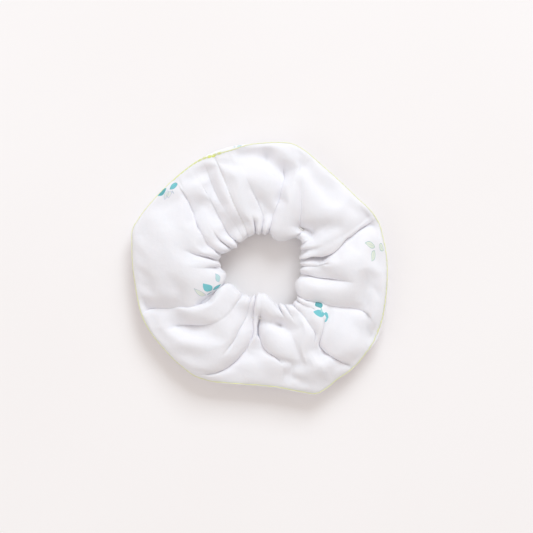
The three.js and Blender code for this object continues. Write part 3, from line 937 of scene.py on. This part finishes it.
def elastic_radius(angle):
    return np.interp(np.degrees(angle) % 360, np.arange(361), np.append(ELASTIC_RADIUS, ELASTIC_RADIUS[0]))


def elastic():
    """A flat braided elastic: one turn with overlapped ends, six ribs across its width."""
    rise, rib_height = 1.35, 0.12
    overlap = ELASTIC_OVERLAP / USUAL_RADIUS
    turn = 2 * math.pi + overlap
    outline = []
    for face in (1, -1):
        for a in np.linspace(-1, 1, 25)[::face]:
            rib = rib_height * (abs(math.sin(3 * math.pi * a)) - 1)
            edge = math.sqrt(max(0.0, 1 - abs(a)**8))
            outline.append((face * (0.5 * ELASTIC_THICK + rib) * edge, 0.5 * ELASTIC_WIDTH * a))
    out, up = np.array(outline).T
    n, k = 300, len(outline)
    share = np.linspace(0, 1, n)
    angle = math.radians(SEAM_DEG) - 0.5 * overlap + turn * share
    middle = elastic_radius(angle) + rise * (share * turn / (2 * math.pi) - 0.5)
    plait = 1 + 0.05 * np.cos(2 * math.pi * share * 130)
    r = middle[:, None] + plait[:, None] * out
    angle, up = np.broadcast_arrays(angle[:, None], up[None, :])
    points = np.stack([r * np.cos(angle), r * np.sin(angle), ELASTIC_HEIGHT + up], -1)
    faces = closed_faces(n, k)[:(n - 1) * k].tolist()
    faces.append(list(range(k)))
    faces.append(list(range((n - 1) * k, n * k))[::-1])
    return points, faces


def braid():
    """White elastic, ribbed along its length and finely knitted, with painted shade in bands along the ribs.
    """
    mat, tree, shader = material("braided_elastic")
    place = node(tree, "TexCoord").outputs["Object"]
    ribs = node(tree, "TexWave", in_Vector=place, in_Scale=420.0, in_Distortion=0.6,
                bands_direction="Z").outputs[1]
    knit = node(tree, "TexNoise", in_Vector=place, in_Scale=1800.0, in_Detail=2.0).outputs[0]
    # painted shade: the ribs' bands blend towards a grey; the knit then adds random darker flecks
    mixed = blended(tree, maths(tree, "MULTIPLY", ribs, 0.3), srgb(243, 242, 238), srgb(214, 212, 206))
    mixed = blended(tree, maths(tree, "MULTIPLY", knit, 0.2), mixed, srgb(205, 203, 197))
    tree.links.new(mixed, shader.inputs["Base Color"])
    bump = node(tree, "Bump", in_Strength=0.5, in_Distance=0.0003, in_Height=ribs)
    tree.links.new(bump.outputs[0], shader.inputs["Normal"])
    rough = node(tree, "MapRange", in_0=knit, in_3=0.7, in_4=0.88).outputs[0]
    tree.links.new(rough, shader.inputs["Roughness"])
    return mat


add_piece("braided_elastic_loop", [elastic()], braid(), "elastic_band")


def join_zigzag(face):
    """The zigzag that joins the elastic's overlapped ends, on its inner or its outer face."""
    n = 97
    t = np.linspace(-1, 1, n)
    angle = math.radians(SEAM_DEG) + t * 4.6 / USUAL_RADIUS
    height = ELASTIC_HEIGHT + 2.2 * (2 / math.pi) * np.arcsin(np.sin(2 * np.pi * t * 3))
    r = elastic_radius(angle) + face * 1.45
    return tube(np.stack([r * np.cos(angle), r * np.sin(angle), height], -1), 0.2)


for face, name, kind in ((1, "outer", "needle"), (-1, "inner", "bobbin")):
    add_piece(f"elastic_join_{name}_stitches", [join_zigzag(face)], WHITE,
              f"elastic_join_{kind}_thread")

# Stage: a pale floor and a bright even sky, a soft key light from the top and a weak fill from the lower left
bpy.context.scene.view_settings.view_transform = "Standard"
floor = new_mesh("floor", [(-2, -2, 0), (2, -2, 0), (2, 2, 0), (-2, 2, 0)], [(0, 1, 2, 3)])
mat, tree, shader = material("pale_floor")
place = node(tree, "TexCoord").outputs["Object"]
grain = node(tree, "TexNoise", in_Vector=place, in_Scale=6.0, in_Detail=2.0).outputs[0]
tree.links.new(blended(tree, grain, srgb(244, 241, 240), srgb(248, 246, 246)), shader.inputs["Base Color"])
shader.inputs["Roughness"].default_value = 0.9
shader.inputs["Specular IOR Level"].default_value = 0.1
floor.data.materials.append(mat)


def area_light(name, place, aim, size, power, colour):
    light = bpy.data.lights.new(name, "AREA")
    light.size, light.energy, light.color = size, power, colour
    obj = bpy.data.objects.new(name, light)
    bpy.context.scene.collection.objects.link(obj)
    obj.location = place
    obj.rotation_euler = (Vector(aim) - Vector(place)).to_track_quat("-Z", "Y").to_euler()


area_light("key", (0.68, 2.25, 1.85), (0, 0, 0), 1.5, 53.5, (0.84, 0.93, 1.0))
area_light("fill", (-1.7, -0.9, 1.7), (0, 0, 0), 1.6, 6.0, (0.85, 0.93, 1.0))
world = bpy.data.worlds.new("studio")
world.use_nodes = True
world.node_tree.nodes["Background"].inputs[0].default_value = (1.0, 0.925, 0.882, 1)
world.node_tree.nodes["Background"].inputs[1].default_value = 0.69
bpy.context.scene.world = world

# The camera looks straight down and takes in a square of this width, in metres
VIEW_WIDTH = 0.281
camera = bpy.data.cameras.new("camera")
camera.sensor_width = 36
camera.lens = camera.sensor_width * 0.99 / VIEW_WIDTH
eye = bpy.data.objects.new("camera", camera)
bpy.context.scene.collection.objects.link(eye)
eye.location = (0.0029, 0.0003, 1.0)
eye.rotation_euler = (0, 0, 0)
bpy.context.scene.camera = eye
